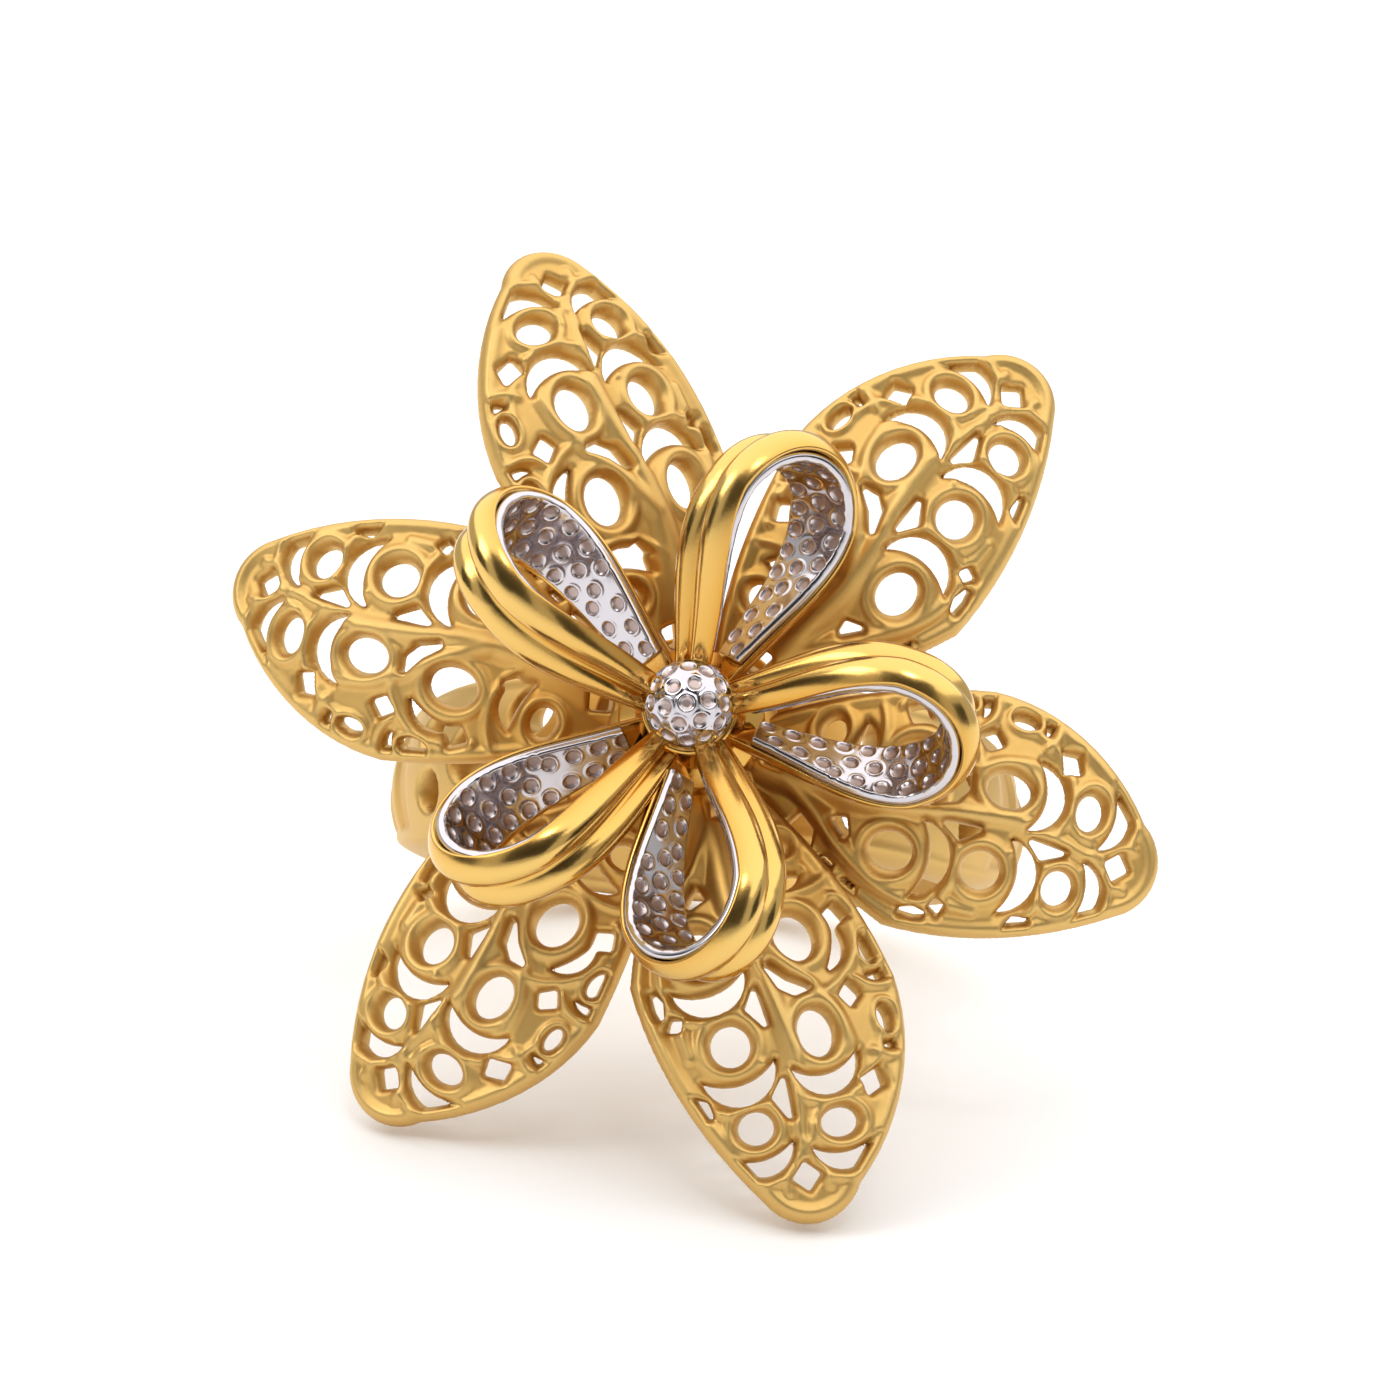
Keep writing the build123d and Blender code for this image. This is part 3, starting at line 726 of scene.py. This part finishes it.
def sphere_ray(polar, turn):
    """Unit directions by their angle from the top and their turn about Z."""
    rays = (np.sin(polar) * np.cos(turn), np.sin(polar) * np.sin(turn), np.cos(polar))
    return np.stack(np.broadcast_arrays(*rays), -1)


def bead():
    """A ball pressed with rings of round dimples, on its post: the radius is less the depth times
    one less the fourth power of the angle to the nearest dimple's middle over the dimple's own,
    with a low raised lip round it."""
    rows, columns = BEAD_ROWS, BEAD_COLUMNS
    polar = np.linspace(0, math.pi, rows)[1:-1, None]
    turn = np.linspace(0, 2 * math.pi, columns, endpoint=False)[None, :]
    ray = sphere_ray(polar, turn).reshape(-1, 3)
    ray = np.concatenate((ray, ((0, 0, 1), (0, 0, -1))))
    nearest = np.full(len(ray), np.inf)
    for count, from_top, first in DIMPLES:
        angle = math.radians(from_top)
        for turn_of in np.radians(first + 360 * np.arange(count) / count):
            aim = turned(sphere_ray(angle, turn_of), 0, -BEAD_TILT)
            nearest = np.minimum(nearest, np.arccos(np.clip(ray @ aim, -1, 1)))
    share = nearest * BEAD_RADIUS / DIMPLE_RADIUS
    lip = DIMPLE_LIP_HEIGHT * np.exp(-((share - DIMPLE_LIP_AT) / DIMPLE_LIP_WIDTH) ** 2)
    pressed = np.clip(1 - share**4, 0, 1) - lip
    points = ray * (BEAD_RADIUS - DIMPLE_DEPTH * pressed)[:, None] + (0, 0, BEAD_HEIGHT)
    quads = grid_quads(rows - 2, columns, wrap_columns=True)
    j = np.arange(columns)
    after = (j + 1) % columns
    top, bottom = (rows - 2) * columns, (rows - 2) * columns + 1
    last = (rows - 3) * columns
    caps = np.concatenate((
        np.stack((np.full(columns, top), j, after), -1),
        np.stack((np.full(columns, bottom), last + after, last + j), -1),
    ))
    return points, [quads, caps], np.clip(pressed, 0, 1)


def half_width_round(angle):
    """The hoop's half width by the angle from the flower: straight lines between the back, the
    sides and the shoulders by height, eased over by a short running mean."""
    height = OUTER_RADIUS * np.cos(angle[:, None] + np.linspace(-TAPER_EASE, TAPER_EASE, 9))
    places = (-OUTER_RADIUS, 0, OUTER_RADIUS / 2, OUTER_RADIUS)
    widths = (BACK_WIDTH / 2, SIDE_WIDTH / 2, SHOULDER_WIDTH / 2, SHOULDER_WIDTH / 2)
    return np.interp(height, places, widths).mean(1)


def hoop():
    """The finger hoop as a sheet laid round the finger: rows by the angle from the flower, columns
    across. Its top is a parabola across the width with a raised wire along both edges and round
    each gap, and shallow panels between ribs; its back is the smooth bore, rounded off at the
    edges."""
    angle = np.linspace(-math.pi, math.pi, HOOP_ROWS, endpoint=False)
    half = half_width_round(angle)
    across = np.linspace(-HOOP_SIDE, HOOP_SIDE, HOOP_COLUMNS) * SHOULDER_WIDTH / 2
    u, v = np.meshgrid(angle, across, indexing="ij")
    half = half[:, None] + 0 * v
    from_edge = half - np.abs(v)
    inside = from_edge
    rims = np.zeros_like(v)
    for side in (-1, 1):
        for from_front, place, radius in SHOULDER_GAPS:
            along = OUTER_RADIUS * (u - side * math.radians(from_front))
            distance = np.hypot(along, v - place * SHOULDER_WIDTH) - radius * SHOULDER_WIDTH
            rims = np.maximum(rims, hump(distance - GAP_RIM_INSET, GAP_RIM_HALF_WIDTH))
            inside = np.minimum(inside, distance)
    wires = np.maximum(hump(from_edge - EDGE_WIRE_INSET, EDGE_WIRE_HALF_WIDTH), rims)
    turns = np.abs(((u * HOOP_PANELS / math.pi) % 2) - 1)
    panel = np.clip((turns - PANEL_RIB_SHARE) / PANEL_SLOPE, 0, 1)
    panel = panel**2 * (3 - 2 * panel) * np.clip((from_edge - PANEL_MARGIN) / PANEL_MARGIN_SLOPE, 0, 1)
    first_panel = math.radians(SHOULDER_GAPS[-1][0] + PANELS_FROM)
    panel *= np.clip((np.abs(u) - first_panel) / PANELS_EASE, 0, 1)
    depth = np.clip(inside / HOOP_ROUND, 0, 1)
    rounding = np.sqrt(1 - (1 - depth) ** 2)
    crown = 1 - (v / half) ** 2
    top = BAND_EDGE - HOOP_MIDDLE + (BAND_THICKNESS - BAND_EDGE) * np.clip(crown, 0, 1)
    top = (top + HOOP_WIRE_HEIGHT * wires - PANEL_DEPTH * panel) * rounding
    hollow = np.clip(panel * PANEL_HOLLOW + FLAT_HOLLOW - FLAT_HOLLOW * wires, 0, 1)
    flat, faces, hollows = closed_sheet(u, v, inside, top, HOOP_MIDDLE * rounding, hollow, 2 * math.pi)
    radius = FINGER_RADIUS + HOOP_MIDDLE + flat[:, 2]
    x, z = radius * np.sin(flat[:, 0]), radius * np.cos(flat[:, 0]) - HOOP_DEPTH
    return np.stack((x, flat[:, 1], z), -1), faces, hollows


# Materials


def node_group(name, inputs, outputs):
    """An empty shader node group with its named sockets, and its input and output nodes."""
    tree = bpy.data.node_groups.new(name, "ShaderNodeTree")
    for socket, kind, value in inputs:
        made = tree.interface.new_socket(socket, in_out="INPUT", socket_type=kind)
        made.default_value = value
    for socket, kind in outputs:
        tree.interface.new_socket(socket, in_out="OUTPUT", socket_type=kind)
    return tree, tree.nodes.new("NodeGroupInput").outputs, tree.nodes.new("NodeGroupOutput").inputs


def add(tree, kind, links=(), **settings):
    """A node with its settings, its inputs joined to other nodes' outputs or set to values."""
    node = tree.nodes.new(kind)
    for key, value in settings.items():
        setattr(node, key, value)
    for socket, source in links:
        if isinstance(source, bpy.types.NodeSocket):
            tree.links.new(source, node.inputs[socket])
        else:
            node.inputs[socket].default_value = source
    return node


def maths(tree, operation, *values, clamp=False):
    """The result of one maths node."""
    links = tuple(enumerate(values))
    return add(tree, "ShaderNodeMath", links, operation=operation, use_clamp=clamp).outputs[0]


FLOAT, COLOUR = "NodeSocketFloat", "NodeSocketColor"
POLISH_MARK_SCALE = 420.0
LEAST_ROUGHNESS, MOST_ROUGHNESS = 0.03, 0.9
GRAIN_STRENGTH = 0.5
CLOUD_SCALE, CLOUD_STRENGTH = 260.0, 0.16
# Distances from the hub, in metres, over which the painted shade and painted reflection near the hub fade
# out.
HUB_SHADE_FROM, HUB_SHADE_TO = 0.0025, 0.0095


def hand_finish_group():
    """Grain and faint polishing marks: fine noise for the height, fine and broad noise together for
    the roughness, which also grows in the hollows of the relief."""
    tree, given, result = node_group(
        "hand_finish",
        (("Base Roughness", FLOAT, 0.3), ("Variation", FLOAT, 0.1), ("Hollow Roughness", FLOAT, 0.0),
         ("Grain Scale", FLOAT, 9000.0)),
        (("Roughness", FLOAT), ("Height", FLOAT)),
    )
    where = add(tree, "ShaderNodeTexCoord").outputs["Object"]
    fine_links = (("Vector", where), ("Scale", given["Grain Scale"]), ("Detail", 3.0))
    grain = add(tree, "ShaderNodeTexNoise", fine_links)
    broad_links = (("Vector", where), ("Scale", POLISH_MARK_SCALE), ("Detail", 2.0))
    broad = add(tree, "ShaderNodeTexNoise", broad_links)
    both = maths(tree, "ADD", grain.outputs["Fac"], broad.outputs["Fac"])
    centred = maths(tree, "SUBTRACT", both, 1.0)
    rough = maths(tree, "MULTIPLY_ADD", centred, given["Variation"], given["Base Roughness"])
    hollow = add(tree, "ShaderNodeAttribute", attribute_name="hollow").outputs["Fac"]
    rough = maths(tree, "MULTIPLY_ADD", hollow, given["Hollow Roughness"], rough)
    limits = (("Value", rough), ("Min", LEAST_ROUGHNESS), ("Max", MOST_ROUGHNESS))
    kept = add(tree, "ShaderNodeClamp", limits)
    tree.links.new(kept.outputs["Result"], result["Roughness"])
    tree.links.new(grain.outputs["Fac"], result["Height"])
    return tree


def relief_shade_and_tone_group():
    """The metal's colour with painted shade: the bright colour, turning to the deep one in the hollows
    of the relief and towards the hub as painted shade and painted reflection, with faint clouds."""
    tree, given, result = node_group(
        "relief_shade_and_tone",
        (("Bright", COLOUR, (1, 1, 1, 1)), ("Deep", COLOUR, (0.5, 0.5, 0.5, 1)),
         ("Hollow Shade Share", FLOAT, 0.6), ("Hub Shade Share", FLOAT, 0.5)),
        (("Color", COLOUR),),
    )
    where = add(tree, "ShaderNodeTexCoord").outputs["Object"]
    # Painted shade and painted reflection of the gold round the hub: near the hub the colour turns to the
    # deep one.
    reach = add(tree, "ShaderNodeVectorMath", ((0, where), (1, tuple(HUB))), operation="DISTANCE")
    hub_range = (
        ("Value", reach.outputs["Value"]), ("From Min", HUB_SHADE_FROM), ("From Max", HUB_SHADE_TO),
        ("To Min", 1.0), ("To Max", 0.0),
    )
    near = add(tree, "ShaderNodeMapRange", hub_range, interpolation_type="SMOOTHSTEP").outputs["Result"]
    hollow = add(tree, "ShaderNodeAttribute", attribute_name="hollow").outputs["Fac"]
    cloud_links = (("Vector", where), ("Scale", CLOUD_SCALE), ("Detail", 2.0))
    cloud = add(tree, "ShaderNodeTexNoise", cloud_links).outputs["Fac"]
    clouds = maths(tree, "MULTIPLY_ADD", cloud, CLOUD_STRENGTH, -CLOUD_STRENGTH / 2)
    # Painted shade and painted reflection: the colour turns to the deep one in the hollows of the relief.
    with_hollow = maths(tree, "MULTIPLY_ADD", hollow, given["Hollow Shade Share"], clouds)
    share = maths(tree, "MULTIPLY_ADD", near, given["Hub Shade Share"], with_hollow, clamp=True)
    # a mix of colours has its share, its two colours and its result at these places
    mixed = ((0, share), (6, given["Bright"]), (7, given["Deep"]))
    mix = add(tree, "ShaderNodeMix", mixed, data_type="RGBA")
    tree.links.new(mix.outputs[2], result["Color"])
    return tree


hand_finish = hand_finish_group()
relief_shade_and_tone = relief_shade_and_tone_group()


def metal(name, bright, deep, hollow_shade_share, hub_shade_share, roughness, variation, hollow_roughness, grain_height):
    """A polished or satin metal: its tone, with painted shade and painted reflection, by the relief, its
    roughness and grain by the finish.
    """
    material = bpy.data.materials.new(name)
    material.use_nodes = True
    tree = material.node_tree
    shader = tree.nodes["Principled BSDF"]
    tone = add(tree, "ShaderNodeGroup", node_tree=relief_shade_and_tone)
    tone.inputs["Bright"].default_value = (*bright, 1)
    tone.inputs["Deep"].default_value = (*deep, 1)
    tone.inputs["Hollow Shade Share"].default_value = hollow_shade_share
    tone.inputs["Hub Shade Share"].default_value = hub_shade_share
    finish = add(tree, "ShaderNodeGroup", node_tree=hand_finish)
    finish.inputs["Base Roughness"].default_value = roughness
    finish.inputs["Variation"].default_value = variation
    finish.inputs["Hollow Roughness"].default_value = hollow_roughness
    bump = add(tree, "ShaderNodeBump")
    bump.inputs["Strength"].default_value = GRAIN_STRENGTH
    bump.inputs["Distance"].default_value = grain_height
    tree.links.new(finish.outputs["Height"], bump.inputs["Height"])
    tree.links.new(tone.outputs["Color"], shader.inputs["Base Color"])
    tree.links.new(finish.outputs["Roughness"], shader.inputs["Roughness"])
    tree.links.new(bump.outputs["Normal"], shader.inputs["Normal"])
    shader.inputs["Metallic"].default_value = 1.0
    return material


# The deep colours are painted: painted shade and painted reflection of gold on gold in the golds' hollows
# and towards the hub, and a painted reflection of the gold round them in the rhodium's pits and dimples.
satin_gold = metal(
    "satin_gold", bright=(0.67, 0.44, 0.15), deep=(0.62, 0.31, 0.05), hollow_shade_share=0.20, hub_shade_share=0.7,
    roughness=0.45, variation=0.10, hollow_roughness=0.05, grain_height=6e-6,
)
polished_gold = metal(
    "polished_gold", bright=(0.75, 0.49, 0.15), deep=(0.62, 0.30, 0.045), hollow_shade_share=0.55, hub_shade_share=0.6,
    roughness=0.17, variation=0.06, hollow_roughness=0.08, grain_height=3e-6,
)
white_rhodium = metal(
    "white_rhodium", bright=(0.60, 0.57, 0.60), deep=(0.52, 0.41, 0.38), hollow_shade_share=1.0, hub_shade_share=0.0,
    roughness=0.14, variation=0.06, hollow_roughness=0.30, grain_height=2e-6,
)

for node, obj in frame["nodes"].items():
    white = node.startswith("loop_lining") or node == "centre_bead"
    gold = polished_gold if node == "ribbon_flower" else satin_gold
    obj.data.materials.clear()
    obj.data.materials.append(white_rhodium if white else gold)


# The pieces


def outer_flower():
    """Six bent copies of the pierced petal and their hub."""
    flat, faces, hollow = closed_sheet(*petal_pattern())
    for name, turn, reach, tilt, twist in PETALS:
        points = set_petal(bent_petal(flat, reach), turn, tilt, twist)
        piece(f"petal_{name}", points, [faces], satin_gold, hollow=hollow)
    hole = POST_RADIUS + CLEARANCE
    profile = (
        (hole, HUB_BOTTOM), (HUB_RADIUS, HUB_BOTTOM), (HUB_RADIUS, HUB_TOP - HUB_SLOPE),
        (COLLAR_RADIUS, HUB_TOP), (hole, HUB_TOP),
    )
    points, quads = lathe(rounded(profile))
    piece("petal_hub", points, [quads], satin_gold, ("outer_flower",))


def ribbon_flower():
    """Five ribbon loops with their linings, and the collar and cup that carry them."""
    for number, (turn, reach_share, rise, lean) in enumerate(LOOPS, start=1):
        points, faces, hollow = ribbon(reach_share * LOOP_REACH)
        points = set_loop(points, turn, rise, lean)
        piece(f"ribbon_loop_{number}", points, faces, polished_gold, hollow=hollow)
        points, faces, hollow = lining(reach_share * LOOP_REACH)
        points = set_loop(points, turn, rise, lean)
        node = (f"loop_lining_{number}",)
        piece(f"lining_{number}", points, faces, white_rhodium, node, hollow)
    hole = POST_RADIUS + CLEARANCE
    profile = (
        (hole, HUB_TOP + CLEARANCE), (COLLAR_RADIUS, HUB_TOP + CLEARANCE),
        (COLLAR_RADIUS, COLLAR_TOP - COLLAR_SLOPE), (CUP_RADIUS + CUP_FLARE, COLLAR_TOP),
        (CUP_RADIUS, CUP_TOP), (CUP_RADIUS - CUP_WALL, CUP_TOP),
        (hole, BEAD_HEIGHT - BEAD_RADIUS - CLEARANCE),
    )
    points, quads = lathe(rounded(profile, 0.12))
    piece("collar", points, [quads], polished_gold, ("ribbon_flower",))


def centre_bead():
    """The dimpled bead."""
    points, faces, hollow = bead()
    piece("bead", points, faces, white_rhodium, ("centre_bead",), hollow)


def shank():
    """The finger hoop with the stem and seat under the flower."""
    points, faces, hollow = hoop()
    piece("finger_hoop", points, [faces], satin_gold, ("shank",), hollow)
    hole = POST_RADIUS + CLEARANCE
    foot = FINGER_RADIUS + BAND_EDGE / 2 - HOOP_DEPTH
    seat_top = HUB_BOTTOM - CLEARANCE
    profile = (
        (hole, foot), (STEM_RADIUS, foot), (STEM_RADIUS, seat_top - SEAT_THICKNESS - SEAT_SLOPE),
        (SEAT_RADIUS, seat_top - SEAT_THICKNESS), (SEAT_RADIUS, seat_top), (hole, seat_top),
    )
    points, quads = lathe(rounded(profile))
    piece("stem_and_seat", points, [quads], satin_gold)


outer_flower()
ribbon_flower()
centre_bead()
shank()


# Floor, light and camera: turns in degrees, the camera's shift and distance in millimetres, and all
# other places in metres

CAMERA_PITCH, CAMERA_YAW, CAMERA_ROLL = -12.8, -2.8, -3.7
CAMERA_SHIFT = (-0.21, -0.91)
CAMERA_DISTANCE = 138.8
SENSOR_WIDTH = 36
PICTURE_PIXELS, FOCAL_PIXELS = 1400, 4600
LIGHTS_AIM = Vector((0, 0, 0.012))


def look():
    """The camera: it looks at the hub along the flower's axis, less the pitch, yaw and roll. The rows
    of axes are the flower's axes as the camera sees them."""
    axes = np.eye(3)
    axes = turned(axes, 0, CAMERA_PITCH)
    axes = turned(axes, 1, CAMERA_YAW)
    axes = turned(axes, 2, CAMERA_ROLL)
    place = axes @ np.array((-CAMERA_SHIFT[0], -CAMERA_SHIFT[1], CAMERA_DISTANCE))
    basis = FLOWER_AXES.T @ axes
    camera = bpy.data.cameras.new("camera")
    camera.sensor_width = SENSOR_WIDTH
    camera.sensor_fit = "HORIZONTAL"
    camera.lens = SENSOR_WIDTH * (FOCAL_PIXELS / PICTURE_PIXELS)
    camera.clip_start = 0.001
    obj = bpy.data.objects.new("camera", camera)
    matrix = np.eye(4)
    matrix[:3, :3] = basis
    matrix[:3, 3] = as_laid(place)
    obj.matrix_world = Matrix(matrix.tolist())
    bpy.context.scene.collection.objects.link(obj)
    bpy.context.scene.camera = obj


def flat_panel(name, centre, across, upward, material):
    """A flat four-cornered panel from its middle and its two half sides."""
    centre, across, upward = (np.asarray(x, float) for x in (centre, across, upward))
    lower = (centre - across - upward, centre + across - upward)
    corners = (*lower, lower[1] + 2 * upward, lower[0] + 2 * upward)
    mesh = bpy.data.meshes.new(name)
    mesh.from_pydata([tuple(c) for c in corners], [], [(0, 1, 2, 3)])
    mesh.materials.append(material)
    obj = bpy.data.objects.new(name, mesh)
    bpy.context.scene.collection.objects.link(obj)


def plain(name, colour, roughness):
    """A plain matt surface for the studio."""
    material = bpy.data.materials.new(name)
    material.use_nodes = True
    shader = material.node_tree.nodes["Principled BSDF"]
    shader.inputs["Base Color"].default_value = (*colour, 1)
    shader.inputs["Roughness"].default_value = roughness
    return material


def softbox(name, place, size, brightness):
    """A square area light aimed at the ring. Its power makes the radiance of its face the given
    brightness, where 1 shows as white."""
    light = bpy.data.lights.new(name, "AREA")
    light.shape = "SQUARE"
    light.size = size
    light.energy = brightness * math.pi * size**2
    obj = bpy.data.objects.new(name, light)
    obj.location = place
    obj.rotation_euler = (Vector(place) - LIGHTS_AIM).to_track_quat("Z", "Y").to_euler()
    bpy.context.scene.collection.objects.link(obj)


look()
flat_panel("floor", (0, 0, 0), (2, 0, 0), (0, 2, 0), plain("floor_white", (0.97, 0.97, 0.97), 0.7))
black = plain("card_black", (0.03, 0.025, 0.02), 0.9)
flat_panel("card_by_camera", (0.02, -0.30, 0.18), (0.17, 0, 0), (0, 0.06, 0.12), black)
flat_panel("card_left", (-0.26, -0.14, 0.07), (0, 0.09, 0), (0, 0, 0.065), black)
flat_panel("card_right", (0.27, -0.12, 0.07), (0, 0.08, 0), (0, 0, 0.065), black)

softbox("softbox_top", (0.0, 0.10, 0.8), 2.4, 1.08)
softbox("softbox_left", (-0.50, -0.35, 0.45), 0.28, 3.0)
softbox("lamp_front", (0.06, -0.36, 0.50), 0.07, 16.0)

world = bpy.data.worlds.new("studio")
bpy.context.scene.world = world
world.use_nodes = True
world.node_tree.nodes["Background"].inputs["Color"].default_value = (1, 1, 1, 1)
world.node_tree.nodes["Background"].inputs["Strength"].default_value = 0.6
bpy.context.scene.view_settings.view_transform = "Standard"
